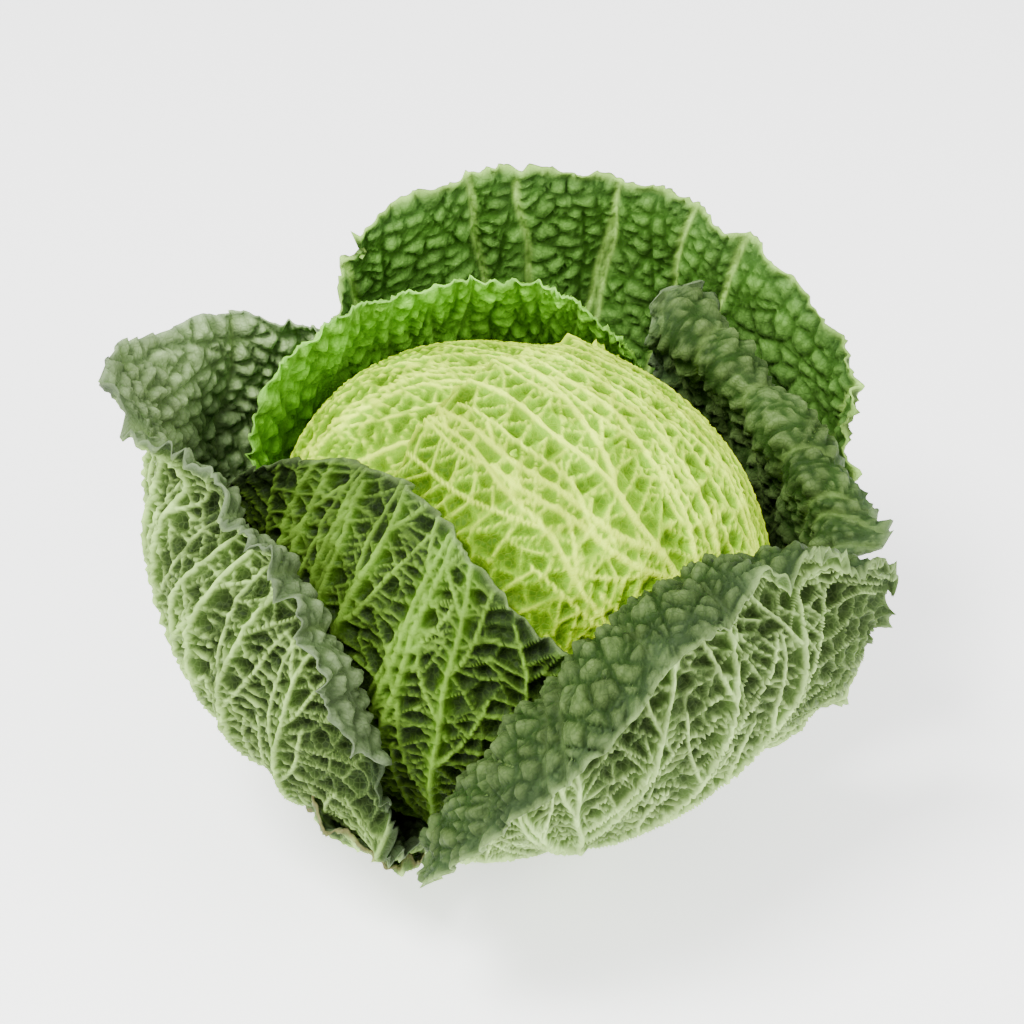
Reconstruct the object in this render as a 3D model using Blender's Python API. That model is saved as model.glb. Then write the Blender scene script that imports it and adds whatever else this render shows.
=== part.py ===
"""A savoy cabbage: a dense head, the wrapper leaves that lie on it, the open outer leaves and the cut stalk.

Metres, +Z up. The origin is the middle of the stalk's flat cut, on which the cabbage stands.
Azimuths are in degrees round the stalk: 0 is the front (-Y), 90 is the right (+X), -90 the left (-X).
Leaf angles are in degrees at the head's centre, counted from straight down, so 90 is the head's equator.
"""

from dataclasses import dataclass
from math import atan2, cos, pi, radians, sin

import bmesh
import bpy
import numpy as np
from mathutils import Vector

# Driving dimensions.
HEAD_RADIUS = 0.077
HEAD_HALF_HEIGHT = 0.072
HEAD_CENTRE_Z = 0.098
BULGE_HEIGHT = 0.013
BULGE_AZIMUTH, BULGE_LATITUDE, BULGE_WIDTH = -122, 33, 40  # degrees
STALK_RADIUS = 0.017
STALK_TOP_Z = 0.0257
JOINT_GAP = 0.0004
LAMINA = 0.0010

# The outer leaves' grid, crinkle and margin. A blister is two cells wide, so that few faces carry it.
RAY_ROWS = 17
RAY_COLUMNS = 25
BLISTER_HEIGHT = 0.0020
RIB_HEIGHT = 0.0016
MIDRIB_HEIGHT = 0.0038
ROOT_SPREAD = 0.62
SETTLING_ANGLE = 40
CORNER_DRAW = 0.10
CORNER_CUT = 0.07
FLARE_START = 38  # degrees from straight down
BELLY_START = 30
HIP_START = 30
HIP_END = 100
ROW_CROWDING = 0.92  # under 1, the rows lie closer together towards the margin
MARGIN_SHARPNESS = 7  # how narrow the frilled band along the margin is
FRILL_HEIGHT = 0.0018
FRILL_DEPTH = 0.020
FRILL_TURN = 2.2  # radians for each column
FRILL_UNEVENNESS = 1.3
FRILL_DRIFT = 0.9
NOTCH_TURN = 2.7
SLOW_WAVES = 2.3  # half waves across the leaf
WAVE_START, WAVE_RISE = 0.25, 0.6  # shares of the leaf's length
CRINKLE_START, CRINKLE_RISE = 0.15, 0.25
RIB_EVERY = 4  # columns
RIB_TAPER = 0.75

# The wrapper leaves' grid and raised net, and the steps between the leaf edges on the head.
WRAPPER_CELLS = 16
WRAPPER_LAMINA = 0.0006
WRAPPER_NET_HEIGHT = 0.0013
WRAPPER_MIDRIB_SHARE = 0.8
HEAD_LEAF_STEP = 0.0012
HEAD_LEAF_TURNS = 2  # leaf edges met on the way round the head
HEAD_LEAF_CLIMB = 1.5  # leaf edges met on the way up it


@dataclass
class OuterLeaf:
    """An open leaf. Rays climb from the stalk to a rim, which is given at stations from left to right."""

    name: str
    layer_gap: float  # from the head's surface to the leaf, at the head's belly
    root_height: float  # where the leaf leaves the stalk
    azimuths: tuple
    rim_angles: tuple
    rim_reaches: tuple  # from the head's centre to the rim
    bellies: tuple  # how far the leaf bulges outwards below its rim
    hips: tuple  # how far it bulges outwards low on the head
    rolls: tuple  # degrees that the margin curls outwards beyond the rim
    roll_lengths: tuple
    wave: float  # height of the slow waves towards the rim
    wave_phase: float
    colour: tuple


@dataclass
class WrapperLeaf:
    """A leaf that lies on the head as a round patch about a centre direction."""

    name: str
    azimuth: float
    latitude: float
    half_width: float  # degrees of the head
    half_length: float
    gap: float
    colour: tuple


DARK_GREEN = (0.070, 0.145, 0.035)
MID_GREEN = (0.110, 0.220, 0.045)
BRIGHT_GREEN = (0.130, 0.330, 0.040)
PALE_GREEN = (0.480, 0.590, 0.190)
STALK_CREAM = (0.640, 0.660, 0.400)

OUTER_LEAVES = (
    OuterLeaf("leaf_front", 0.0136, 0.0190, (-100, -62, -26, 6, 38), (106, 136, 133, 110, 90),
              (0.112, 0.0945, 0.0930, 0.0930, 0.094), (0, 0, 0, 0, 0), (0, 0, 0, 0, 0),
              (14, 6, 4, 6, 10), (0.010, 0.010, 0.010, 0.010, 0.010), 0.0008, 0.3, MID_GREEN),
    OuterLeaf("leaf_ring", 0.0136, 0.0190, (-212, -188, -162, -134, -105), (124, 135, 138, 133, 120),
              (0.093, 0.098, 0.101, 0.104, 0.113), (0, 0, 0, 0, 0), (0, 0, 0, 0, 0),
              (10, 20, 25, 20, 10), (0.014, 0.014, 0.014, 0.014, 0.014), 0.0010, 1.1, BRIGHT_GREEN),
    OuterLeaf("leaf_right", 0.0194, 0.0130, (84, 96, 113, 132, 150), (92, 103, 112, 121, 127),
              (0.105, 0.102, 0.098, 0.098, 0.104), (0, 0, 0, 0, 0), (0, 0, 0, 0, 0),
              (80, 160, 200, 200, 180), (0.028, 0.034, 0.038, 0.038, 0.036), 0.0010, 2.0, DARK_GREEN),
    OuterLeaf("leaf_left", 0.0194, 0.0130, (-150, -133, -113, -92, -68, -44, -24),
              (114, 109, 109, 112, 114, 109, 86), (0.106, 0.122, 0.138, 0.138, 0.112, 0.105, 0.104),
              (0, 0.004, 0.006, 0.008, 0.018, 0.009, 0.002), (0, 0, 0, 0.002, 0.008, 0.011, 0.012),
              (20, 20, 40, 80, 120, 120, 100),
              (0.014, 0.024, 0.028, 0.034, 0.026, 0.026, 0.026), 0.0012, 1.7, MID_GREEN),
    OuterLeaf("leaf_right_front", 0.0194, 0.0130, (-21, 3, 28, 55, 81), (68, 100, 115, 110, 94),
              (0.104, 0.101, 0.099, 0.107, 0.128), (0.002, 0.006, 0.008, 0.010, 0.008),
              (0.004, 0, 0, 0, 0.004), (140, 175, 170, 130, 60),
              (0.030, 0.056, 0.056, 0.040, 0.026), 0.0012, 2.6, MID_GREEN),
    OuterLeaf("leaf_back", 0.0248, 0.0075, (106, 130, 156, 187, 218), (104, 113, 122, 125, 121),
              (0.124, 0.134, 0.138, 0.139, 0.132), (0, 0, 0, 0, 0), (0, 0, 0, 0, 0),
              (30, 22, 15, 20, 30), (0.026, 0.026, 0.026, 0.026, 0.026), 0.0030, 0.2, DARK_GREEN),
)

WRAPPER_LEAVES = (
    WrapperLeaf("wrapper_leaf_back", 172, 18, 74, 72, 0.0008, PALE_GREEN),
    WrapperLeaf("wrapper_leaf_left", -102, 20, 78, 76, 0.0043, PALE_GREEN),
    WrapperLeaf("wrapper_leaf_right", 50, 25, 84, 80, 0.0078, PALE_GREEN),
)


# ---- Curves and surfaces -------------------------------------------------------------------------


def along(stations, t):
    """A smooth curve through evenly spaced values, read where t runs from -1 to 1."""
    v = np.asarray(stations, float)
    v = np.concatenate([[2 * v[0] - v[1]], v, [2 * v[-1] - v[-2]]])
    x = (np.asarray(t, float) + 1) / 2 * (len(stations) - 1)
    i = np.clip(np.floor(x).astype(int), 0, len(stations) - 2)
    f = x - i
    p0, p1, p2, p3 = v[i], v[i + 1], v[i + 2], v[i + 3]
    return 0.5 * (2 * p1 + (p2 - p0) * f + (2 * p0 - 5 * p1 + 4 * p2 - p3) * f**2
                  + (3 * p1 - p0 - 3 * p2 + p3) * f**3)


def smooth_step(x):
    x = np.clip(x, 0, 1)
    return x * x * (3 - 2 * x)


def head_reach(angle):
    """The head's radius in the direction at this angle from straight down."""
    return 1 / np.sqrt((np.sin(angle) / HEAD_RADIUS) ** 2 + (np.cos(angle) / HEAD_HALF_HEIGHT) ** 2)


def direction_at(azimuth, latitude):
    """The unit direction at an azimuth and a latitude in degrees."""
    a, b = radians(azimuth), radians(latitude)
    return np.array([cos(b) * sin(a), -cos(b) * cos(a), sin(b)])


def head_bulge(direction):
    """How far the head swells out at the left of its back, beyond its even shape."""
    turn = np.arccos(np.clip(direction @ direction_at(BULGE_AZIMUTH, BULGE_LATITUDE), -1, 1))
    return BULGE_HEIGHT * np.exp(-(turn / radians(BULGE_WIDTH)) ** 2)


def root_angle(leaf):
    return atan2(STALK_RADIUS + JOINT_GAP, HEAD_CENTRE_Z - leaf.root_height)


def layer_reach(leaf, angle):
    """How far from the head's centre the leaf lies before it flares, from its root into its layer."""
    start = root_angle(leaf)
    root_reach = (HEAD_CENTRE_Z - leaf.root_height) / cos(start)
    root_gap = root_reach - head_reach(start)
    blend = smooth_step((angle - start) / radians(SETTLING_ANGLE))
    return head_reach(angle) + root_gap + (leaf.layer_gap - root_gap) * blend


def leaf_rays(leaf, t, samples=161):
    """Radius and height along each ray, in its upright plane, before the margin rolls: by sample and ray."""
    rim_angle = np.radians(along(leaf.rim_angles, t))
    rim_reach = along(leaf.rim_reaches, t)
    start = root_angle(leaf)
    angle = start + np.linspace(0, 1, samples)[:, None] * (rim_angle - start)
    flare = np.clip((angle - radians(FLARE_START)) / (rim_angle - radians(FLARE_START)), 0, 1) ** 2
    reach = layer_reach(leaf, angle) + (rim_reach - layer_reach(leaf, rim_angle)) * flare
    hump = np.clip((angle - radians(BELLY_START)) / (rim_angle - radians(BELLY_START)), 0, 1)
    reach += along(leaf.bellies, t) * np.sin(pi * hump**3)
    low_hump = np.clip((angle - radians(HIP_START)) / radians(HIP_END - HIP_START), 0, 1)
    reach += along(leaf.hips, t) * np.sin(pi * low_hump) ** 2
    return reach * np.sin(angle), HEAD_CENTRE_Z - reach * np.cos(angle)


def ray_azimuths(leaf, rows, t):
    """The rays start close together at the narrow base, fan out, and draw in again at the rounded corners."""
    middle = along(leaf.azimuths, 0.0)
    fan = ROOT_SPREAD + (1 - ROOT_SPREAD) * smooth_step(rows / 0.4)
    spread = fan - CORNER_DRAW * rows**8 * np.abs(t) ** 4
    return np.radians(middle + (along(leaf.azimuths, t) - middle) * spread)


def leaf_surface(leaf, rows, t):
    """The leaf's inner face. rows is a grid, 0 at the stalk and 1 at the margin; t is each ray's place."""
    r, z = leaf_rays(leaf, t)
    steps = np.hypot(np.diff(r, axis=0), np.diff(z, axis=0))
    travelled = np.vstack([np.zeros(len(t)), np.cumsum(steps, axis=0)])
    roll = np.radians(along(leaf.rolls, t))
    roll_length = along(leaf.roll_lengths, t)
    corner = CORNER_CUT * np.abs(t) ** 10
    radius = np.empty(rows.shape)
    height = np.empty(rows.shape)
    for k in range(len(t)):
        whole = travelled[-1, k]
        distance = rows[:, k] * (whole + roll_length[k]) * (1 - corner[k])
        on_ray = np.minimum(distance, whole)
        beyond = distance - on_ray
        tangent = np.array([r[-1, k] - r[-4, k], z[-1, k] - z[-4, k]])
        tangent /= np.hypot(*tangent)
        along_roll = np.linspace(0, roll_length[k], 61)
        # The roll is tightest where it starts and opens towards the edge.
        turned = roll[k] * (1 - (1 - along_roll / roll_length[k]) ** 2)
        middle = (turned[1:] + turned[:-1]) / 2
        step = along_roll[1]
        ahead = np.interp(beyond, along_roll, np.append(0, np.cumsum(np.cos(middle)) * step))
        outward = np.interp(beyond, along_roll, np.append(0, np.cumsum(np.sin(middle)) * step))
        radius[:, k] = np.interp(on_ray, travelled[:, k], r[:, k]) + tangent[0] * ahead + tangent[1] * outward
        height[:, k] = np.interp(on_ray, travelled[:, k], z[:, k]) + tangent[1] * ahead - tangent[0] * outward
    azimuth = ray_azimuths(leaf, rows, t)
    return np.stack([radius * np.sin(azimuth), -radius * np.cos(azimuth), height], axis=-1)


def outward_normals(points):
    """Unit normals of a grid of points, pointing away from the head."""
    across = np.gradient(points, axis=1)
    upward = np.gradient(points, axis=0)
    normal = np.cross(across, upward)
    return normal / np.linalg.norm(normal, axis=-1, keepdims=True)


def wrapper_surface(leaf, a, b):
    """Points on the head's surface under a wrapper leaf. a and b run from -1 to 1 across and along it."""
    centre = direction_at(leaf.azimuth, leaf.latitude)
    sideways = direction_at(leaf.azimuth + 90, 0)
    upwards = np.cross(sideways, centre) * -1
    # The square grid is drawn onto a disc, so that the leaf's outline is round.
    x = a * np.sqrt(1 - b**2 / 2) * radians(leaf.half_width)
    y = b * np.sqrt(1 - a**2 / 2) * radians(leaf.half_length)
    turn = np.hypot(x, y)
    share = np.where(turn > 1e-9, np.sin(turn) / np.maximum(turn, 1e-9), 1)
    return (np.cos(turn)[..., None] * centre + (share * x)[..., None] * sideways
            + (share * y)[..., None] * upwards)


# ---- Meshes --------------------------------------------------------------------------------------


def material(name, colour, roughness):
    made = bpy.data.materials.new(name)
    made.use_nodes = True
    shader = made.node_tree.nodes["Principled BSDF"]
    shader.inputs["Base Color"].default_value = (*colour, 1)
    shader.inputs["Roughness"].default_value = roughness
    shader.inputs["Metallic"].default_value = 0
    return made


def finish(name, mesh, colour, roughness=0.55):
    node = bpy.data.objects.new(name, mesh)
    bpy.context.scene.collection.objects.link(node)
    mesh.materials.append(material(name, colour, roughness))
    return node


def shell_mesh(name, inner, outer):
    """A closed thin solid between two grids of points, split into triangles alike on both faces."""
    rows, columns = inner.shape[:2]
    bm = bmesh.new()
    sides = [[[bm.verts.new(p) for p in row] for row in grid] for grid in (inner, outer)]
    for j in range(rows - 1):
        for i in range(columns - 1):
            corners = [(j, i), (j, i + 1), (j + 1, i + 1), (j + 1, i)]
            for side, ordered in ((0, corners[::-1]), (1, corners)):
                v = {c: sides[side][c[0]][c[1]] for c in ordered}
                # The diagonals run outwards from each blister's top, so that the crinkle stays even.
                first = (j, i) if (i + j) % 2 == 0 else (j, i + 1)
                k = ordered.index(first)
                a, b, c, d = (v[ordered[(k + n) % 4]] for n in range(4))
                bm.faces.new((a, b, c))
                bm.faces.new((a, c, d))
    border = [(0, i) for i in range(columns)] + [(j, columns - 1) for j in range(1, rows)]
    border += [(rows - 1, i) for i in range(columns - 2, -1, -1)] + [(j, 0) for j in range(rows - 2, 0, -1)]
    for (j0, i0), (j1, i1) in zip(border, border[1:] + border[:1]):
        a, b = sides[0][j0][i0], sides[0][j1][i1]
        c, d = sides[1][j1][i1], sides[1][j0][i0]
        bm.faces.new((a, b, c))
        bm.faces.new((a, c, d))
    bmesh.ops.recalc_face_normals(bm, faces=bm.faces)
    mesh = bpy.data.meshes.new(name)
    bm.to_mesh(mesh)
    bm.free()
    return mesh


def build_outer_leaf(leaf):
    rows = np.linspace(0, 1, RAY_ROWS) ** ROW_CROWDING
    t = np.linspace(-1, 1, RAY_COLUMNS)
    row, column = np.meshgrid(np.arange(RAY_ROWS), np.arange(RAY_COLUMNS), indexing="ij")
    margin = rows[:, None] ** MARGIN_SHARPNESS
    # Uneven waves along the margin, about three columns long.
    uneven = FRILL_UNEVENNESS * np.sin(FRILL_DRIFT * column + leaf.wave_phase)
    frill = np.sin(FRILL_TURN * column + uneven) * margin
    notch = (0.5 + 0.5 * np.sin(NOTCH_TURN * column + 2 * leaf.wave_phase)) * margin
    skin = leaf_surface(leaf, rows[:, None] * (1 - FRILL_DEPTH * notch), t)
    normal = outward_normals(skin)
    towards_rim = smooth_step((rows[:, None] - WAVE_START) / WAVE_RISE)
    slow_wave = leaf.wave * towards_rim * np.sin(pi * (SLOW_WAVES * t[None, :] + leaf.wave_phase))
    blister_top = (row % 2 == 1) & (column % 2 == 1)
    fade_in = smooth_step((rows[:, None] - CRINKLE_START) / CRINKLE_RISE)
    crinkle = BLISTER_HEIGHT * fade_in * np.where(blister_top, -1, 0)
    skin = skin + normal * (slow_wave + crinkle + FRILL_HEIGHT * frill)[..., None]
    middle = (RAY_COLUMNS - 1) // 2
    rib_taper = (1 - RIB_TAPER * rows)[:, None]
    ribs = RIB_HEIGHT * rib_taper * (column % RIB_EVERY == middle % RIB_EVERY) * fade_in
    midrib = MIDRIB_HEIGHT * rib_taper**2 * (column == middle)
    outer = skin + normal * (LAMINA + np.maximum(ribs, midrib))[..., None]
    return finish(leaf.name, shell_mesh(leaf.name, skin, outer), leaf.colour)


def build_wrapper_leaf(leaf):
    steps = np.linspace(-1, 1, WRAPPER_CELLS + 1)
    b, a = np.meshgrid(steps, steps, indexing="ij")
    direction = wrapper_surface(leaf, a, b)
    angle = np.arccos(np.clip(-direction[..., 2], -1, 1))
    row, column = np.meshgrid(np.arange(WRAPPER_CELLS + 1), np.arange(WRAPPER_CELLS + 1), indexing="ij")
    middle = WRAPPER_CELLS // 2
    vein = (row % 2 == 0) | (column % 2 == 0)
    net = WRAPPER_NET_HEIGHT * vein * (1 + WRAPPER_MIDRIB_SHARE * (column == middle))
    centre = np.array([0, 0, HEAD_CENTRE_Z])
    skin = head_reach(angle) + head_bulge(direction) + leaf.gap
    inner = centre + direction * skin[..., None]
    outer = centre + direction * (skin + WRAPPER_LAMINA + net)[..., None]
    return finish(leaf.name, shell_mesh(leaf.name, inner, outer), leaf.colour, 0.5)


def build_head():
    """The tight inner leaves as one dense body, with the edges of its spiralling leaves raised on it."""
    mesh = bpy.data.meshes.new("head")
    bm = bmesh.new()
    bmesh.ops.create_uvsphere(bm, u_segments=40, v_segments=20, radius=1)
    for vertex in bm.verts:
        direction = vertex.co.normalized()
        angle = np.arccos(-direction.z)
        azimuth = atan2(direction.y, direction.x)
        spiral = (HEAD_LEAF_TURNS * azimuth / (2 * pi) + HEAD_LEAF_CLIMB * angle / pi) % 1
        step = HEAD_LEAF_STEP * (1 - spiral) * sin(angle)
        reach = head_reach(angle) + head_bulge(np.array(direction)) - step
        vertex.co = direction * reach + Vector((0, 0, HEAD_CENTRE_Z))
    bm.to_mesh(mesh)
    bm.free()
    mesh.shade_smooth()
    return finish("head", mesh, PALE_GREEN, 0.5)


def build_stalk():
    """The cut stalk, a round stub with a flat cut face. It meets the head from below."""
    mesh = bpy.data.meshes.new("stalk")
    bm = bmesh.new()
    rings = ((0, 0.0165), (0.0012, 0.0168), (0.010, STALK_RADIUS), (STALK_TOP_Z, STALK_RADIUS - 0.0003))
    sides = 28
    turns = [2 * pi * k / sides for k in range(sides)]
    made = []
    for height, radius in rings:
        made.append([bm.verts.new((radius * cos(turn), radius * sin(turn), height)) for turn in turns])
    for low, high in zip(made, made[1:]):
        for k in range(sides):
            n = (k + 1) % sides
            bm.faces.new((low[k], low[n], high[n], high[k]))
    bm.faces.new(made[0][::-1])
    bm.faces.new(made[-1])
    bm.to_mesh(mesh)
    bm.free()
    mesh.shade_smooth()
    mesh.set_sharp_from_angle(angle=radians(40))
    return finish("stalk", mesh, STALK_CREAM, 0.6)


def main():
    for old in list(bpy.data.objects):
        bpy.data.objects.remove(old)
    build_stalk()
    build_head()
    for leaf in WRAPPER_LEAVES:
        build_wrapper_leaf(leaf)
    for leaf in OUTER_LEAVES:
        build_outer_leaf(leaf)


main()
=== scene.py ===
"""The looks of the savoy cabbage: crinkled leaves with pale ribs, the stalk, a pale floor, light, camera.

Metres, +Z up, in the frame of the part: the origin is the middle of the stalk's flat cut.
Azimuths are in degrees round the stalk: 0 is the front (-Y), 90 is the right (+X), -90 the left (-X).
Leaf angles are in degrees at the head's centre, counted from straight down.
A place on a leaf is (u, v): u runs from 0 at its base to 1 at its tip, v from -1 to 1 across it.
"""

from dataclasses import dataclass
from math import atan2, cos, exp, pi, radians, sin

import bpy
import numpy as np
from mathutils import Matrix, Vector
from mathutils.kdtree import KDTree


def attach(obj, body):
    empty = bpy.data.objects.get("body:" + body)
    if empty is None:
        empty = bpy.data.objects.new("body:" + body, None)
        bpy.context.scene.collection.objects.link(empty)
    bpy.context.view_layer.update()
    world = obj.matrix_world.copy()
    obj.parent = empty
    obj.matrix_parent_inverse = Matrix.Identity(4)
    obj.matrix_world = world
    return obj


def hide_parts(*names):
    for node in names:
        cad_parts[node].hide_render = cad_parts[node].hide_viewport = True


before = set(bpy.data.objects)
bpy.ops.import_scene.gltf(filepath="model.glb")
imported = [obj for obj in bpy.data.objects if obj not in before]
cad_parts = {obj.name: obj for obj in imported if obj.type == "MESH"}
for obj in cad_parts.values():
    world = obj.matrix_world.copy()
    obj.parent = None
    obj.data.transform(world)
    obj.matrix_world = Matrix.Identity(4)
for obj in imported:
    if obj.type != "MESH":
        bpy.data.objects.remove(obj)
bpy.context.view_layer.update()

# The solids' driving dimensions, which their formulas below repeat. Their angles are in degrees.
HEAD_RADIUS = 0.077
HEAD_HALF_HEIGHT = 0.072
HEAD_CENTRE_Z = 0.098
BULGE_HEIGHT = 0.013
BULGE_AZIMUTH, BULGE_LATITUDE, BULGE_WIDTH = -122, 33, 40
STALK_RADIUS = 0.017
JOINT_GAP = 0.0004
ROOT_SPREAD = 0.62
SETTLING_ANGLE = 40
CORNER_DRAW = 0.10
CORNER_CUT = 0.07
FLARE_START = 38
BELLY_START = 30
HIP_START = 30
HIP_END = 100
SLOW_WAVES = 2.3  # half waves across the leaf
WAVE_START, WAVE_RISE = 0.25, 0.6  # shares of the leaf's length
FAN_RISE = 0.4  # the share of the leaf's length over which its rays spread
RAY_SAMPLES = 161
ROLL_SAMPLES = 61

# The smooth skin's grid, on which ribs grow and from which the fine grids are read.
SKIN_ROWS = 121
SKIN_COLUMNS = 121

# The blade. Its relief is the panels that sink between large ribs, blisters, and a finer crinkle on them.
BLADE = 0.0008
WRAPPER_BLADE_SHARE = 0.6
BLADE_OFFSET = 0.0012
PANEL_WIDTH = 0.007
BLISTER_SIZE = 0.0076
BLISTER_DEPTH = 0.0026
CRINKLE_SIZE = 0.0040
CRINKLE_DEPTH = 0.0006
RELIEF_START, RELIEF_RISE = 0.10, 0.25  # shares of the leaf's length
UNEVENNESS, UNEVENNESS_WAVELENGTH = 0.35, 0.03

# The blisters' seeds, in shares of a cell's size, and how far their cells are bent out of true.
SEED_SPACING = 0.85
BLISTER_CLEARANCE, CRINKLE_CLEARANCE = 0.25, 0.3
WARP, WARP_WAVELENGTH = 0.0012, 0.012
CRINKLE_WARP_SHARE = 0.5
CELLS_COMPARED = 7

# The fine net along the edges of blisters and crinkle: its height, half widths, and how pale it is.
NET_HEIGHT = 0.0003
NET_HALF_WIDTH = 0.0007
BLISTER_LINE, BLISTER_LINE_HALF_WIDTH = 0.42, 0.0007
CRINKLE_LINE, CRINKLE_LINE_HALF_WIDTH = 0.12, 0.0006
# The creases' painted shade along the edges of blisters and crinkle: its half widths and strength.
BLISTER_CREASE_HALF_WIDTH = 0.0011
CRINKLE_CREASE, CRINKLE_CREASE_HALF_WIDTH = 0.6, 0.0008

# Ribs, by rank: the midrib, its side ribs, their branches, and the short veins between them.
# Half widths and heights run from a rib's start to its end. Headings and openings are in degrees.
MIDRIB, SIDE_RIB, BRANCH, SHORT_VEIN = range(4)
RIB_STEP = 0.002
RIB_HALF_WIDTHS = ((0.0034, 0.0014), (0.0024, 0.0011), (0.0015, 0.0010), (0.0011, 0.0009))
RIB_HEIGHTS = ((0.0028, 0.0008), (0.0016, 0.0007), (0.0010, 0.0005), (0.0006, 0.0004))
RIB_PALENESS = (1.0, 0.95, 0.85, 0.62)
RIB_CLEARANCE = 0.0022
MEETING_SHARE = 0.75
PALE_SHARE, PALE_SPREAD = 0.5, 0.0002
LARGE_RIB_HALF_WIDTH = 0.0010
PIECES_COMPARED = 6
RIB_BEND, BRANCH_BEND, SHORT_VEIN_BEND = 0.030, 0.014, 0.010  # the lengths over which a rib turns
RIB_SWAY, RIB_SWAY_LENGTH = (3, 9), 0.0065
MIDRIB_START = 0.006
SIDE_RIB_SHARES = (0.02, 0.07, 0.14, 0.23, 0.34, 0.47, 0.62)  # of the midrib's length
SIDE_RIB_STAGGER = (0.94, 1.12)
SIDE_RIB_SCATTER = 0.01
OPENING_SCATTER, HEADING_SCATTER = 6, 3
LOW_HEADING, HEADING_LOSS = 1.8, 1.3  # shares of the settled heading, at the base and lost by the tip
LOW_LENGTH, LENGTH_LOSS = 1.05, 0.5  # shares of the leaf's length, at the base and lost by the tip
FORK_OPENING, FORK_SETTLED = 36, 10
BRANCH_START, BRANCH_EVERY, BRANCH_LENGTH = (5, 9), (7, 12), (0.035, 0.065)  # steps, steps and metres
BRANCH_END = 5  # steps from the rib's end
SHORT_VEIN_START, SHORT_VEIN_EVERY, SHORT_VEIN_LENGTH = (2, 5), (3, 6.5), (0.014, 0.030)
SHORT_VEIN_OPENING, SHORT_VEIN_SETTLED = (55, 80), (40, 85)

# The margin's frills, which stand out of the blade, and its scallops, bays and lobes, cut from its edge.
MARGIN_BAND = 0.010
RUFFLE_HEIGHT, RUFFLE_LENGTH = 0.0046, 0.010
FINE_RUFFLE_HEIGHT, FINE_RUFFLE_LENGTH = 0.0020, 0.0042
SIDE_RUFFLE_START, SIDE_RUFFLE_RISE = 0.15, 0.4
SCALLOP_DEPTH = 0.0032
MOST_SCALLOP_SHARE = 1.6
SCALLOP_SHARE, SCALLOP_LENGTH = 0.6, 0.0075
FINE_SCALLOP_SHARE, FINE_SCALLOP_LENGTH = 0.4, 0.0038
BAY_SHARE, BAY_LENGTH = 0.9, 0.022
LOBE_SHARE, LOBE_LENGTH = 1.3, 0.045
TIP_BAND, SIDE_BAND = 0.15, 0.2  # shares of the leaf that are drawn in with its edge
SIDE_CUT_RISE = 0.3
ARC_ALLOWANCE = 1.15  # a curved half leaf is longer than its chord

# The wrapper leaves' tips lift off the head, and their ribs stand less high.
WRAPPER_LIFT = 0.0015
WRAPPER_LIFT_BAND = 0.3
WRAPPER_RIB_SHARE = 0.4

# How far colours reach, in metres from the margin and as a share of the leaf's length from its base.
RIM_BAND = 0.012
EDGE_BAND = 0.0015
BASE_BAND = 0.10

# How blisters and crinkle add up in the colours, and what is left of them at the base.
BIG_SHARE, SMALL_SHARE = 0.65, 0.35
BASE_BLISTER = 0.4


@dataclass
class OuterLeaf:
    """An open leaf's solid shape, as its node was built.

    The tuples are values at stations across the leaf, from left to right as seen from outside.
    """

    name: str
    layer_gap: float
    root_height: float
    azimuths: tuple
    rim_angles: tuple
    rim_reaches: tuple
    bellies: tuple
    hips: tuple
    rolls: tuple
    roll_lengths: tuple
    wave: float
    wave_phase: float


@dataclass
class WrapperLeaf:
    """A leaf that lies on the head as a round patch about a centre direction."""

    name: str
    azimuth: float
    latitude: float
    half_width: float
    half_length: float
    gap: float


@dataclass
class Look:
    """A leaf's grid and colours. Its inside is the face towards the head and its outside carries the ribs."""

    slot: str
    cells: tuple  # along and across
    inside: tuple
    # Painted shade in the valleys and creases between blisters on the inside.
    inside_valley_shade: tuple
    outside: tuple
    # Painted shade in the pockets between ribs on the outside.
    outside_pocket_shade: tuple
    # The blade is lighter on the flanks and darkens towards the sunk panel middles, as painted shade.
    flank: tuple  # the outside beside a large rib
    vein: tuple
    bloom: float  # the share of grey wax near the margin
    relief: float
    ruffle: float
    inner_vein: float  # how clearly the large ribs show inside
    rib_scale: float
    rib_headings: tuple  # degrees at which side ribs leave the midrib and settle
    # Painted light and shade: a brightness across the leaf standing in for where it lies lit or shaded.
    light: tuple  # brightness at stations across the leaf
    panel_depth: float
    edge: tuple


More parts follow.
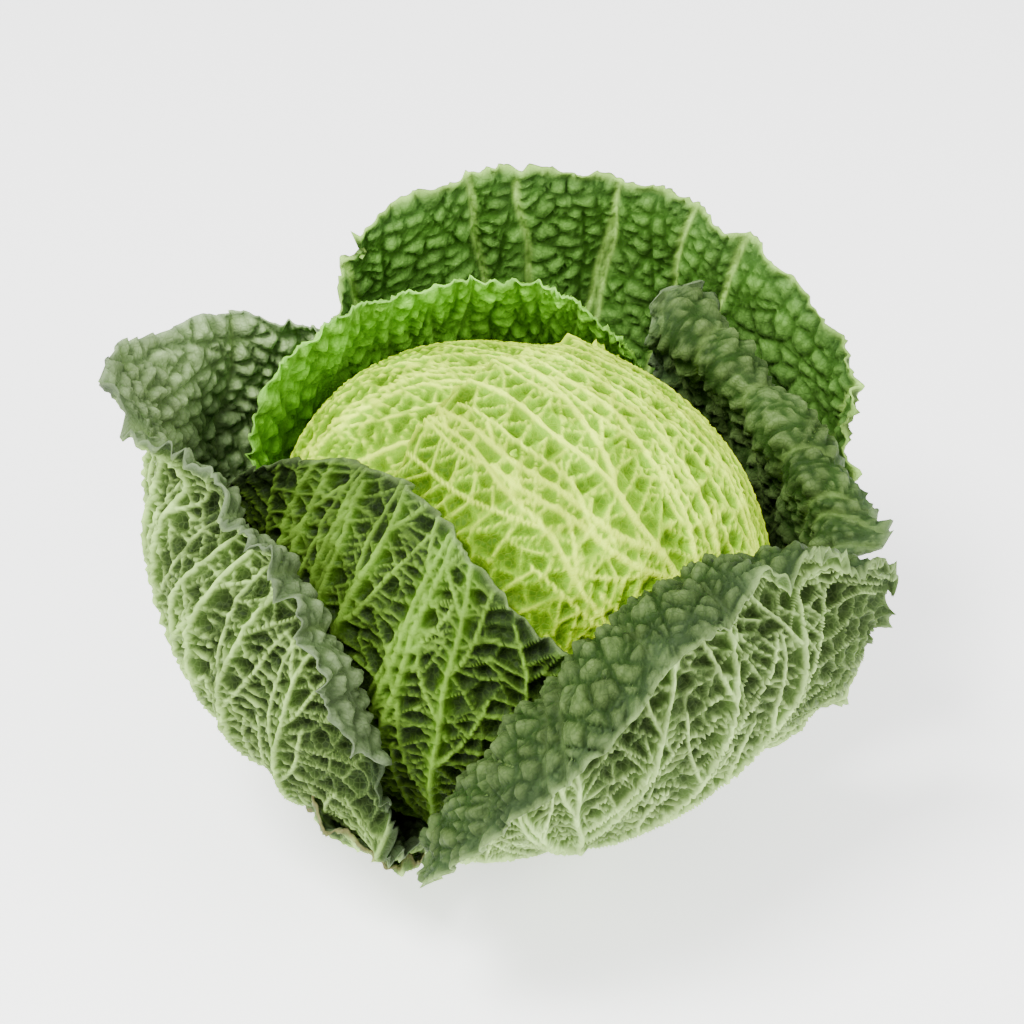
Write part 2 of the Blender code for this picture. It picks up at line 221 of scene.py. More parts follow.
FLAT = (0, 0, 0, 0, 0)
OUTER_LEAVES = (
    OuterLeaf("leaf_front", 0.0136, 0.0190, (-100, -62, -26, 6, 38), (106, 136, 133, 110, 90),
              (0.112, 0.0945, 0.0930, 0.0930, 0.094), FLAT, FLAT,
              (14, 6, 4, 6, 10), (0.010, 0.010, 0.010, 0.010, 0.010), 0.0008, 0.3),
    OuterLeaf("leaf_ring", 0.0136, 0.0190, (-212, -188, -162, -134, -105), (124, 135, 138, 133, 120),
              (0.093, 0.098, 0.101, 0.104, 0.113), FLAT, FLAT,
              (10, 20, 25, 20, 10), (0.014, 0.014, 0.014, 0.014, 0.014), 0.0010, 1.1),
    OuterLeaf("leaf_right", 0.0194, 0.0130, (84, 96, 113, 132, 150), (92, 103, 112, 121, 127),
              (0.105, 0.102, 0.098, 0.098, 0.104), FLAT, FLAT,
              (80, 160, 200, 200, 180), (0.028, 0.034, 0.038, 0.038, 0.036), 0.0010, 2.0),
    OuterLeaf("leaf_left", 0.0194, 0.0130, (-150, -133, -113, -92, -68, -44, -24),
              (114, 109, 109, 112, 114, 109, 86), (0.106, 0.122, 0.138, 0.138, 0.112, 0.105, 0.104),
              (0, 0.004, 0.006, 0.008, 0.018, 0.009, 0.002), (0, 0, 0, 0.002, 0.008, 0.011, 0.012),
              (20, 20, 40, 80, 120, 120, 100),
              (0.014, 0.024, 0.028, 0.034, 0.026, 0.026, 0.026), 0.0012, 1.7),
    OuterLeaf("leaf_right_front", 0.0194, 0.0130, (-21, 3, 28, 55, 81), (68, 100, 115, 110, 94),
              (0.104, 0.101, 0.099, 0.107, 0.128), (0.002, 0.006, 0.008, 0.010, 0.008),
              (0.004, 0, 0, 0, 0.004), (140, 175, 170, 130, 60),
              (0.030, 0.056, 0.056, 0.040, 0.026), 0.0012, 2.6),
    OuterLeaf("leaf_back", 0.0248, 0.0075, (106, 130, 156, 187, 218), (104, 113, 122, 125, 121),
              (0.124, 0.134, 0.138, 0.139, 0.132), FLAT, FLAT,
              (30, 22, 15, 20, 30), (0.026, 0.026, 0.026, 0.026, 0.026), 0.0030, 0.2),
)

# The torn strip of a leaf at the front left of the base, against leaf_left. It has no solid.
TORN_LEAF = OuterLeaf("torn_leaf", 0.0290, 0.0075, (-50, -44, -38, -32, -25), (73, 69, 65, 62, 57),
                      (0.112, 0.113, 0.114, 0.113, 0.110), FLAT, FLAT,
                      (10, 5, 5, 5, 10), (0.004, 0.004, 0.004, 0.004, 0.004), 0.0010, 0.9)

WRAPPER_LEAVES = (
    WrapperLeaf("wrapper_leaf_back", 172, 18, 74, 72, 0.0008),
    WrapperLeaf("wrapper_leaf_left", -102, 20, 78, 76, 0.0043),
    WrapperLeaf("wrapper_leaf_right", 50, 25, 84, 80, 0.0078),
)


# Albedos. A blade's valley or shadow colour is painted shade on its low parts inside, and its pocket colour
# is painted shade in the hollows between ribs outside.
DARK_VALLEY_SHADE = (0.008, 0.020, 0.003)
DARK_POCKET_SHADE = (0.004, 0.010, 0.001)
FOREST_BLADE = (0.080, 0.175, 0.030)
FOREST_VALLEY_SHADE = (0.020, 0.058, 0.006)
FOREST_VEIN = (0.270, 0.460, 0.090)
GREY_BLADE = (0.048, 0.076, 0.022)
SOFT_BLADE = (0.100, 0.140, 0.060)
SOFT_VALLEY_SHADE = (0.030, 0.050, 0.015)
FRONT_BLADE = (0.016, 0.034, 0.004)
FRONT_FLANK = (0.034, 0.088, 0.003)
FRONT_VEIN = (0.140, 0.270, 0.030)
RING_BLADE = (0.200, 0.480, 0.040)
RING_VALLEY_SHADE = (0.070, 0.210, 0.010)
RING_VEIN = (0.260, 0.520, 0.070)
UNDER_BLADE = (0.022, 0.040, 0.008)
UNDER_FLANK = (0.036, 0.070, 0.011)
UNDER_VEIN = (0.250, 0.390, 0.100)
PALE_BLADE = (0.042, 0.072, 0.018)
PALE_POCKET_SHADE = (0.010, 0.020, 0.004)
PALE_FLANK = (0.060, 0.108, 0.024)
PALE_VEIN = (0.320, 0.470, 0.150)
HEART_BLADE = (0.150, 0.325, 0.002)
HEART_SHADOW = (0.032, 0.095, 0.002)
HEART_VEIN = (0.620, 0.850, 0.025)
BLOOM = (0.060, 0.090, 0.048)
PALE_EDGE = (0.160, 0.240, 0.080)
RING_EDGE = (0.150, 0.340, 0.050)
GREY_EDGE = (0.090, 0.120, 0.065)
BROWN_EDGE = (0.090, 0.075, 0.030)

# The faces that several leaves share.
UNDERSIDE = {"outside": UNDER_BLADE, "outside_pocket_shade": DARK_POCKET_SHADE, "flank": UNDER_FLANK}
HEART_FACES = {
    "inside": HEART_BLADE, "inside_valley_shade": HEART_SHADOW,
    "outside": HEART_BLADE, "outside_pocket_shade": HEART_SHADOW, "flank": HEART_BLADE,
    "vein": HEART_VEIN, "edge": HEART_VEIN, "bloom": 0,
}

# Each look's valley and pocket colours are painted shade, and its light is painted light and shade across the
# leaf.
LOOKS = {
    "leaf_front": Look(
        slot="outer_leaf", cells=(180, 190),
        inside=FOREST_BLADE, inside_valley_shade=FOREST_VALLEY_SHADE,
        outside=FRONT_BLADE, outside_pocket_shade=DARK_POCKET_SHADE, flank=FRONT_FLANK,
        vein=FRONT_VEIN, edge=PALE_EDGE, bloom=0.08,
        relief=1.0, panel_depth=0.0020, ruffle=0.7,
        inner_vein=0.3, rib_scale=1.0, rib_headings=(32, 6),
        light=(0.3, 0.6, 0.86, 1.0, 1.2),
    ),
    "leaf_ring": Look(
        slot="bright_leaf", cells=(110, 200),
        inside=RING_BLADE, inside_valley_shade=RING_VALLEY_SHADE,
        outside=RING_BLADE, outside_pocket_shade=RING_VALLEY_SHADE, flank=RING_BLADE,
        vein=RING_VEIN, edge=RING_EDGE, bloom=0.0,
        relief=1.1, panel_depth=0.0006, ruffle=0.3,
        inner_vein=0.3, rib_scale=0.5, rib_headings=(40, 10),
        light=(1.25, 1.25),
    ),
    "leaf_right": Look(
        slot="dark_leaf", cells=(110, 140),
        inside=GREY_BLADE, inside_valley_shade=DARK_VALLEY_SHADE,
        **UNDERSIDE,
        vein=UNDER_VEIN, edge=GREY_EDGE, bloom=0.2,
        relief=1.3, panel_depth=0.0034, ruffle=0.9,
        inner_vein=0.15, rib_scale=0.8, rib_headings=(40, 10),
        light=(1.75, 1.75),
    ),
    "leaf_left": Look(
        slot="outer_leaf", cells=(170, 285),
        inside=SOFT_BLADE, inside_valley_shade=SOFT_VALLEY_SHADE,
        **UNDERSIDE,
        vein=UNDER_VEIN, edge=GREY_EDGE, bloom=0.12,
        relief=1.3, panel_depth=0.0030, ruffle=1.3,
        inner_vein=0.1, rib_scale=0.8, rib_headings=(38, 8),
        light=(3.3, 2.7, 1.4, 1.1, 1.2),
    ),
    "leaf_right_front": Look(
        slot="outer_leaf", cells=(170, 285),
        inside=GREY_BLADE, inside_valley_shade=DARK_VALLEY_SHADE,
        outside=PALE_BLADE, outside_pocket_shade=PALE_POCKET_SHADE, flank=PALE_FLANK,
        vein=PALE_VEIN, edge=PALE_EDGE, bloom=0.15,
        relief=1.45, panel_depth=0.0026, ruffle=1.0,
        inner_vein=0.05, rib_scale=0.8, rib_headings=(36, 8),
        light=(1.3, 1.2),
    ),
    "torn_leaf": Look(
        slot="outer_leaf", cells=(50, 80),
        inside=SOFT_BLADE, inside_valley_shade=SOFT_VALLEY_SHADE,
        **UNDERSIDE,
        vein=UNDER_VEIN, edge=BROWN_EDGE, bloom=0.1,
        relief=0.9, panel_depth=0.0020, ruffle=0.7,
        inner_vein=0.5, rib_scale=0.7, rib_headings=(36, 8),
        light=(1.8, 1.8),
    ),
    "leaf_back": Look(
        slot="dark_leaf", cells=(140, 250),
        inside=FOREST_BLADE, inside_valley_shade=FOREST_VALLEY_SHADE,
        **UNDERSIDE,
        vein=FOREST_VEIN, edge=FOREST_VEIN, bloom=0.1,
        relief=1.0, panel_depth=0.0034, ruffle=0.9,
        inner_vein=0.85, rib_scale=1.1, rib_headings=(34, 8),
        light=(1.0, 1.25, 1.3, 1.2),
    ),
    "wrapper_leaf_back": Look(
        slot="wrapper_leaf", cells=(50, 50),
        **HEART_FACES,
        relief=0.4, panel_depth=0.0, ruffle=0.3,
        inner_vein=0.5, rib_scale=0.6, rib_headings=(42, 12),
        light=(1, 1),
    ),
    "wrapper_leaf_left": Look(
        slot="wrapper_leaf", cells=(150, 150),
        **HEART_FACES,
        relief=0.45, panel_depth=0.0, ruffle=0.4,
        inner_vein=0.5, rib_scale=0.8, rib_headings=(42, 12),
        light=(1, 1),
    ),
    "wrapper_leaf_right": Look(
        slot="wrapper_leaf", cells=(180, 190),
        **HEART_FACES,
        relief=0.65, panel_depth=0.0003, ruffle=0.8,
        inner_vein=0.5, rib_scale=1.05, rib_headings=(42, 10),
        light=(0.48, 0.70, 0.95, 0.98, 0.9),
    ),
}


# ---- The solids' formulas --------------------------------


def along(stations, t):
    """A smooth curve through evenly spaced values, read where t runs from -1 to 1."""
    v = np.asarray(stations, float)
    v = np.concatenate([[2 * v[0] - v[1]], v, [2 * v[-1] - v[-2]]])
    x = (np.asarray(t, float) + 1) / 2 * (len(stations) - 1)
    i = np.clip(np.floor(x).astype(int), 0, len(stations) - 2)
    f = x - i
    p0, p1, p2, p3 = v[i], v[i + 1], v[i + 2], v[i + 3]
    return 0.5 * (2 * p1 + (p2 - p0) * f + (2 * p0 - 5 * p1 + 4 * p2 - p3) * f**2
                  + (3 * p1 - p0 - 3 * p2 + p3) * f**3)


def smooth_step(x):
    """0 up to x = 0, 1 from x = 1 on, and an even rise between them."""
    x = np.clip(x, 0, 1)
    return x * x * (3 - 2 * x)


def head_reach(angle):
    """The head's radius in the direction at this angle from straight down."""
    return 1 / np.sqrt((np.sin(angle) / HEAD_RADIUS) ** 2 + (np.cos(angle) / HEAD_HALF_HEIGHT) ** 2)


def direction_at(azimuth, latitude):
    """The unit direction at an azimuth and a latitude in degrees."""
    a, b = radians(azimuth), radians(latitude)
    return np.array([cos(b) * sin(a), -cos(b) * cos(a), sin(b)])


def head_bulge(direction):
    """How far the head swells out at the left of its back, beyond its even shape."""
    turn = np.arccos(np.clip(direction @ direction_at(BULGE_AZIMUTH, BULGE_LATITUDE), -1, 1))
    return BULGE_HEIGHT * np.exp(-(turn / radians(BULGE_WIDTH)) ** 2)


def root_angle(leaf):
    """The angle at which the leaf leaves the stalk, in radians."""
    return atan2(STALK_RADIUS + JOINT_GAP, HEAD_CENTRE_Z - leaf.root_height)


def layer_reach(leaf, angle):
    """How far from the head's centre the leaf lies before it flares."""
    start = root_angle(leaf)
    root_reach = (HEAD_CENTRE_Z - leaf.root_height) / cos(start)
    root_gap = root_reach - head_reach(start)
    blend = smooth_step((angle - start) / radians(SETTLING_ANGLE))
    return head_reach(angle) + root_gap + (leaf.layer_gap - root_gap) * blend


def leaf_rays(leaf, t):
    """Radius and height along each ray before the margin rolls: by sample and ray."""
    rim_angle = np.radians(along(leaf.rim_angles, t))
    rim_reach = along(leaf.rim_reaches, t)
    start = root_angle(leaf)
    angle = start + np.linspace(0, 1, RAY_SAMPLES)[:, None] * (rim_angle - start)
    flare = np.clip((angle - radians(FLARE_START)) / (rim_angle - radians(FLARE_START)), 0, 1) ** 2
    reach = layer_reach(leaf, angle) + (rim_reach - layer_reach(leaf, rim_angle)) * flare
    hump = np.clip((angle - radians(BELLY_START)) / (rim_angle - radians(BELLY_START)), 0, 1)
    reach += along(leaf.bellies, t) * np.sin(pi * hump**3)
    low_hump = np.clip((angle - radians(HIP_START)) / radians(HIP_END - HIP_START), 0, 1)
    reach += along(leaf.hips, t) * np.sin(pi * low_hump) ** 2
    return reach * np.sin(angle), HEAD_CENTRE_Z - reach * np.cos(angle)


def ray_azimuths(leaf, rows, t):
    """The rays start close together at the narrow base, fan out, and draw in again at the corners."""
    middle = along(leaf.azimuths, 0.0)
    fan = ROOT_SPREAD + (1 - ROOT_SPREAD) * smooth_step(rows / FAN_RISE)
    spread = fan - CORNER_DRAW * rows**8 * np.abs(t) ** 4
    return np.radians(middle + (along(leaf.azimuths, t) - middle) * spread)


def outer_leaf_skin(leaf):
    """The leaf's smooth inner face as a grid of points."""
    t = np.linspace(-1, 1, SKIN_COLUMNS)
    rows = np.repeat(np.linspace(0, 1, SKIN_ROWS)[:, None], SKIN_COLUMNS, axis=1)
    r, z = leaf_rays(leaf, t)
    steps = np.hypot(np.diff(r, axis=0), np.diff(z, axis=0))
    travelled = np.vstack([np.zeros(len(t)), np.cumsum(steps, axis=0)])
    roll = np.radians(along(leaf.rolls, t))
    roll_length = along(leaf.roll_lengths, t)
    corner = CORNER_CUT * np.abs(t) ** 10
    radius = np.empty(rows.shape)
    height = np.empty(rows.shape)
    for k in range(len(t)):
        whole = travelled[-1, k]
        distance = rows[:, k] * (whole + roll_length[k]) * (1 - corner[k])
        on_ray = np.minimum(distance, whole)
        beyond = distance - on_ray
        tangent = np.array([r[-1, k] - r[-4, k], z[-1, k] - z[-4, k]])
        tangent /= np.hypot(*tangent)
        along_roll = np.linspace(0, roll_length[k], ROLL_SAMPLES)
        # The roll is tightest where it starts and opens towards the edge.
        turned = roll[k] * (1 - (1 - along_roll / roll_length[k]) ** 2)
        middle = (turned[1:] + turned[:-1]) / 2
        step = along_roll[1]
        ahead = np.interp(beyond, along_roll, np.append(0, np.cumsum(np.cos(middle)) * step))
        outward = np.interp(beyond, along_roll, np.append(0, np.cumsum(np.sin(middle)) * step))
        radius[:, k] = np.interp(on_ray, travelled[:, k], r[:, k]) + tangent[0] * ahead + tangent[1] * outward
        height[:, k] = np.interp(on_ray, travelled[:, k], z[:, k]) + tangent[1] * ahead - tangent[0] * outward
    azimuth = ray_azimuths(leaf, rows, t)
    skin = np.stack([radius * np.sin(azimuth), -radius * np.cos(azimuth), height], axis=-1)
    towards_rim = smooth_step((rows - WAVE_START) / WAVE_RISE)
    slow_wave = leaf.wave * towards_rim * np.sin(pi * (SLOW_WAVES * t[None, :] + leaf.wave_phase))
    return skin + outward_normals(skin) * slow_wave[..., None]


def wrapper_leaf_skin(leaf):
    """The wrapper leaf's inner face, on the head, as a grid of points."""
    centre = direction_at(leaf.azimuth, leaf.latitude)
    sideways = direction_at(leaf.azimuth + 90, 0)
    upwards = np.cross(sideways, centre) * -1
    b, a = np.meshgrid(np.linspace(-1, 1, SKIN_ROWS), np.linspace(-1, 1, SKIN_COLUMNS), indexing="ij")
    # The square grid is drawn onto a disc, so that the leaf's outline is round.
    x = a * np.sqrt(1 - b**2 / 2) * radians(leaf.half_width)
    y = b * np.sqrt(1 - a**2 / 2) * radians(leaf.half_length)
    turn = np.hypot(x, y)
    share = np.where(turn > 1e-9, np.sin(turn) / np.maximum(turn, 1e-9), 1)
    direction = (np.cos(turn)[..., None] * centre + (share * x)[..., None] * sideways
                 + (share * y)[..., None] * upwards)
    angle = np.arccos(np.clip(-direction[..., 2], -1, 1))
    reach = head_reach(angle) + head_bulge(direction) + leaf.gap
    # Towards its tip the leaf lifts a little off the head.
    reach += WRAPPER_LIFT * smooth_step((b - (1 - WRAPPER_LIFT_BAND)) / WRAPPER_LIFT_BAND)
    return np.array([0, 0, HEAD_CENTRE_Z]) + direction * reach[..., None]


def outward_normals(points):
    """Unit normals of a grid of points, pointing away from the head."""
    normal = np.cross(np.gradient(points, axis=1), np.gradient(points, axis=0))
    return normal / np.maximum(np.linalg.norm(normal, axis=-1, keepdims=True), 1e-12)


# ---- Smooth randomness -----------------------------------


def ripple(points, wavelength, rng, waves=7):
    """A smooth random height about 1 at most at each point, from a few crossing waves."""
    total = np.zeros(points.shape[:-1])
    for _ in range(waves):
        way = rng.normal(size=3)
        way *= 2 * pi / wavelength / np.linalg.norm(way) * rng.uniform(0.7, 1.4)
        total += np.sin(points @ way + rng.uniform(0, 2 * pi))
    return total / waves**0.5 / 1.6


def wander(lengths, wavelength, rng):
    """Smooth random values from -1 to 1 along a line, by the length travelled on it."""
    x = lengths / wavelength
    knots = rng.uniform(-1, 1, int(x.max()) + 3)
    i = x.astype(int)
    return knots[i] + (knots[i + 1] - knots[i]) * smooth_step(x - i)


# ---- Ribs ------------------------------------------------


class Skin:
    """A smooth sheet given as a grid of points, with its directions and sizes at each place."""

    def __init__(self, points):
        self.points = points
        self.rows, self.columns = points.shape[:2]
        self.up = np.gradient(points, 1 / (self.rows - 1), axis=0)
        self.across = np.gradient(points, 2 / (self.columns - 1), axis=1)

    def at(self, u, v):
        """The points at these places."""
        y = np.clip(u, 0, 1) * (self.rows - 1)
        x = (np.clip(v, -1, 1) + 1) / 2 * (self.columns - 1)
        j = np.clip(np.asarray(y).astype(int), 0, self.rows - 2)
        i = np.clip(np.asarray(x).astype(int), 0, self.columns - 2)
        fy = np.asarray(y - j)[..., None]
        fx = np.asarray(x - i)[..., None]
        p = self.points
        low = p[j, i] * (1 - fx) + p[j, i + 1] * fx
        high = p[j + 1, i] * (1 - fx) + p[j + 1, i + 1] * fx
        return low * (1 - fy) + high * fy

    def step(self, u, v, heading, length):
        """The place reached after a length at an angle to the leaf's upward lines, positive to the right."""
        j = int(round(u * (self.rows - 1)))
        i = int(round((v + 1) / 2 * (self.columns - 1)))
        up, across = self.up[j, i], self.across[j, i]
        ahead = up / np.linalg.norm(up)
        aside = across - (across @ ahead) * ahead
        aside /= np.linalg.norm(aside)
        way = cos(heading) * ahead + sin(heading) * aside
        uu, uv, vv = up @ up, up @ across, across @ across
        a, b = way @ up, way @ across
        span = uu * vv - uv * uv
        return u + length * (a * vv - b * uv) / span, v + length * (b * uu - a * uv) / span


class RibNet:
    """Every rib of a leaf as short straight pieces. A growing rib ends where it meets an older one."""

    def __init__(self, skin, rng):
        self.skin = skin
        self.rng = rng
        self.starts, self.ends, self.shares, self.ranks = [], [], [], []
        self.taken = {}

    def voxel(self, point):
        """The small cube that the point is in, by which older ribs are found."""
        return tuple(int(c // RIB_CLEARANCE) for c in point)

    def meets(self, point, clearance):
        """Whether an older rib passes within the clearance."""
        x, y, z = self.voxel(point)
        for dx in (-1, 0, 1):
            for dy in (-1, 0, 1):
                for dz in (-1, 0, 1):
                    for q in self.taken.get((x + dx, y + dy, z + dz), ()):
                        if sum((a - b) ** 2 for a, b in zip(point, q)) < clearance**2:
                            return True
        return False

    def grow(self, start, heading, last_heading, length, rank, bend=RIB_BEND, least=3):
        """A rib as a list of places and headings. It turns from its first heading to its last, and sways.

        It is dropped, as an empty list, unless it has more places than the least.
        """
        u, v = start
        sway = radians(self.rng.uniform(*RIB_SWAY))
        phase = self.rng.uniform(0, 2 * pi)
        rib = [(u, v, heading)]
        points = [self.skin.at(u, v)]
        for n in range(int(length / RIB_STEP)):
            travelled = n * RIB_STEP
            turn = last_heading + (heading - last_heading) * exp(-travelled / bend)
            turn += sway * (sin(travelled / RIB_SWAY_LENGTH + phase) - sin(phase))
            u, v = self.skin.step(u, v, turn, RIB_STEP)
            if not 0.005 < u < 0.995 or abs(v) > 0.99:
                break
            rib.append((u, v, turn))
            points.append(self.skin.at(u, v))
            if n > 2 and self.meets(points[-1].tolist(), RIB_CLEARANCE * MEETING_SHARE):
                break
        if len(rib) <= least:
            return []
        share = np.arange(len(points)) * RIB_STEP / length
        self.starts.extend(points[:-1])
        self.ends.extend(points[1:])
        self.shares.extend(share[:-1])
        self.ranks.extend([rank] * (len(points) - 1))
        for point in points:
            self.taken.setdefault(self.voxel(point), []).append(point.tolist())
        return rib

    def settle(self):
        """Makes arrays of the pieces, once every rib is grown."""
        self.starts = np.array(self.starts)
        self.ends = np.array(self.ends)
        self.shares = np.clip(np.array(self.shares), 0, 1)
        self.ranks = np.array(self.ranks)
        widths = np.array(RIB_HALF_WIDTHS)[self.ranks]
        heights = np.array(RIB_HEIGHTS)[self.ranks]
        self.widths = widths[:, 0] + (widths[:, 1] - widths[:, 0]) * self.shares
        self.heights = heights[:, 0] + (heights[:, 1] - heights[:, 0]) * self.shares
        self.paleness = np.array(RIB_PALENESS)[self.ranks]
        self.middles = (self.starts + self.ends) / 2

    def distances(self, points, chosen, nearest):
        """Distances from each point to its few nearest pieces among the chosen ones, and which they are."""
        tree = tree_of(self.middles[chosen])
        found = chosen[near(tree, points, nearest)]
        a = self.starts[found]
        ab = self.ends[found] - a
        ap = points[:, None] - a
        share = np.clip((ap * ab).sum(-1) / np.maximum((ab * ab).sum(-1), 1e-12), 0, 1)
        return np.linalg.norm(ap - share[..., None] * ab, axis=-1), found


def tree_of(points):
    """A search tree of the points."""
    tree = KDTree(len(points))
    for i, p in enumerate(points):
        tree.insert(p, i)
    tree.balance()
    return tree


def near(tree, points, count):
    """Which entries of the tree lie nearest to each point."""
    return np.array([[hit[1] for hit in tree.find_n(p, count)] for p in points.tolist()])


def grow_side_ribs(net, midrib, first_heading, last_heading, span):
    """The ribs that fan from the midrib, each with the side it is on."""
    rng = net.rng
    made = []
    for n, share in enumerate(SIDE_RIB_SHARES):
        for side in (-1, 1):
            at = share * SIDE_RIB_STAGGER[side * (-1) ** n > 0] + rng.uniform(0, SIDE_RIB_SCATTER)
            u, v, _ = midrib[int(np.clip(at, 0.005, 0.97) * (len(midrib) - 1))]
            opening = radians(first_heading + rng.uniform(-OPENING_SCATTER, OPENING_SCATTER))
            scatter_by = rng.uniform(-HEADING_SCATTER, HEADING_SCATTER)
            settled = radians(last_heading * (LOW_HEADING - HEADING_LOSS * share) + scatter_by)
            length = span * (LOW_LENGTH - LENGTH_LOSS * share)
            made.append((net.grow((u, v), side * opening, side * settled, length, SIDE_RIB, least=5), side))
    return made


def grow_branches(net, rib, side):
    """The branches of a side rib, first outwards and then by turns."""
    rng = net.rng
    made = []
    k = int(rng.uniform(*BRANCH_START))
    way = side
    while k < len(rib) - BRANCH_END:
        u, v, turn = rib[k]
        length = rng.uniform(*BRANCH_LENGTH)
        opening = turn + way * radians(FORK_OPENING)
        settled = turn + way * radians(FORK_SETTLED)
        made.append(net.grow((u, v), opening, settled, length, BRANCH, BRANCH_BEND, least=4))
        way = -way
        k += int(rng.uniform(*BRANCH_EVERY))
    return made


def grow_short_veins(net, rib):
    """The short veins on both sides of a rib, which bridge it to its neighbours."""
    rng = net.rng
    for side in (-1, 1):
        k = int(rng.uniform(*SHORT_VEIN_START))
        while k < len(rib) - 1:
            u, v, turn = rib[k]
            opening = turn + side * radians(rng.uniform(*SHORT_VEIN_OPENING))
            settled = turn + side * radians(rng.uniform(*SHORT_VEIN_SETTLED))
            length = rng.uniform(*SHORT_VEIN_LENGTH)
            net.grow((u, v), opening, settled, length, SHORT_VEIN, SHORT_VEIN_BEND, least=2)
            k += int(rng.uniform(*SHORT_VEIN_EVERY))


def grow_ribs(skin, rng, headings, span):
    """The midrib, the side ribs that fan from it, their branches, and the short veins that bridge them."""
    net = RibNet(skin, rng)
    midrib = net.grow((MIDRIB_START, 0.0), 0, 0, span, MIDRIB)
    ribs = [midrib]
    for rib, side in grow_side_ribs(net, midrib, *headings, span):
        ribs.extend(grow_branches(net, rib, side))
        ribs.append(rib)
    for rib in ribs:
        grow_short_veins(net, rib)
    net.settle()
    return net


# ---- Blisters --------------------------------------------


def scatter(points, gap, rng):
    """Seeds spread over the points at least a gap apart."""
    taken = {}
    seeds = []
    for p in points[rng.permutation(len(points))].tolist():
        home = tuple(int(c // gap) for c in p)
        crowded = False
        for dx in (-1, 0, 1):
            for dy in (-1, 0, 1):
                for dz in (-1, 0, 1):
                    for q in taken.get((home[0] + dx, home[1] + dy, home[2] + dz), ()):
                        if (p[0] - q[0]) ** 2 + (p[1] - q[1]) ** 2 + (p[2] - q[2]) ** 2 < gap * gap:
                            crowded = True
        if not crowded:
            taken.setdefault(home, []).append(p)
            seeds.append(p)
    return np.array(seeds)


def cells(points, seeds):
    """Each point's distance to the nearest border between two seeds' cells, and its seed."""
    found = near(tree_of(seeds), points, CELLS_COMPARED)
    own = seeds[found[:, :1]]
    others = seeds[found[:, 1:]]
    x = points[:, None]
    gained = ((x - others) ** 2).sum(-1) - ((x - own) ** 2).sum(-1)
    apart = np.linalg.norm(others - own, axis=-1)
    return (gained / (2 * apart)).min(axis=1), found[:, 0]


def dome(edge, size):
    """A blister's height, 0 at its edge with a crease and 1 over its middle."""
    return 1 - (1 - np.clip(edge / (size * 0.5), 0, 1)) ** 2


def blister_pattern(points, vein_gap, rng):
    """At each point, how far its blister's edge is, which blister it is, and how far a crinkle's edge is."""
    warp = np.stack([ripple(points, WARP_WAVELENGTH, rng) for _ in range(3)], -1) * WARP
    clear = points[vein_gap > BLISTER_SIZE * BLISTER_CLEARANCE]
    big_edge, blister = cells(points + warp, scatter(clear, BLISTER_SIZE * SEED_SPACING, rng))
    clear = points[vein_gap > CRINKLE_SIZE * CRINKLE_CLEARANCE]
    seeds = scatter(clear, CRINKLE_SIZE * SEED_SPACING, rng)
    small_edge, _ = cells(points + warp * CRINKLE_WARP_SHARE, seeds)
    return np.minimum(big_edge, vein_gap), blister, np.minimum(small_edge, vein_gap)


# ---- Leaves ----------------------------------------------


def margin_lengths(points):
    """The lengths travelled along a line of points."""
    return np.append(0, np.cumsum(np.linalg.norm(np.diff(points, axis=0), axis=1)))


def scallops(lengths, rng):
    """The ragged edge along a line, from -1 to 1."""
    coarse = SCALLOP_SHARE * wander(lengths, SCALLOP_LENGTH, rng)
    return coarse + FINE_SCALLOP_SHARE * wander(lengths, FINE_SCALLOP_LENGTH, rng)


def leaf_places(skin, shape, rng, depth):
    """The fine grid's places, drawn in at random along the margin, and the distances to that margin."""
    rows, columns = shape[0] + 1, shape[1] + 1
    u, v = np.meshgrid(np.linspace(0, 1, rows), np.linspace(-1, 1, columns), indexing="ij")
    tip_line = margin_lengths(skin.at(np.ones(columns), v[0]))
    middle = skin.at(u[:, columns // 2], v[:, columns // 2])
    length = np.linalg.norm(np.diff(middle, axis=0), axis=1).sum()
    ragged = scallops(tip_line, rng)
    bays = np.clip(wander(tip_line, BAY_LENGTH, rng), 0, 1)
    lobes = np.clip(wander(tip_line, LOBE_LENGTH, rng), 0, 1)
    cut = depth * (0.5 + 0.5 * ragged + BAY_SHARE * bays + LOBE_SHARE * lobes) / length
    drawn_u = u - cut[None, :] * smooth_step((u - (1 - TIP_BAND)) / TIP_BAND)
    drawn_v = v.copy()
    side_distance = np.empty_like(u)
    for side in (-1, 1):
        edge = skin.at(u[:, 0], np.full(rows, float(side)))
        chord = np.linalg.norm(edge - skin.at(u[:, 0], np.zeros(rows)), axis=1)
        half = chord * ARC_ALLOWANCE + 1e-6
        cut = depth * (0.5 + 0.5 * scallops(margin_lengths(edge), rng)) / half
        cut *= smooth_step(u[:, 0] / SIDE_CUT_RISE)
        here = v * side > 0
        towards_edge = smooth_step((np.abs(v) - (1 - SIDE_BAND)) / SIDE_BAND)
        drawn_v -= np.where(here, side * cut[:, None] * towards_edge, 0)
        side_distance = np.where(here, (1 - np.abs(v)) * half[:, None], side_distance)
    # The middle column is on neither side, and far from both.
    side_distance[:, columns // 2] = 1
    tip_distance = (1 - u) * length
    return u, v, drawn_u, drawn_v, tip_distance, side_distance


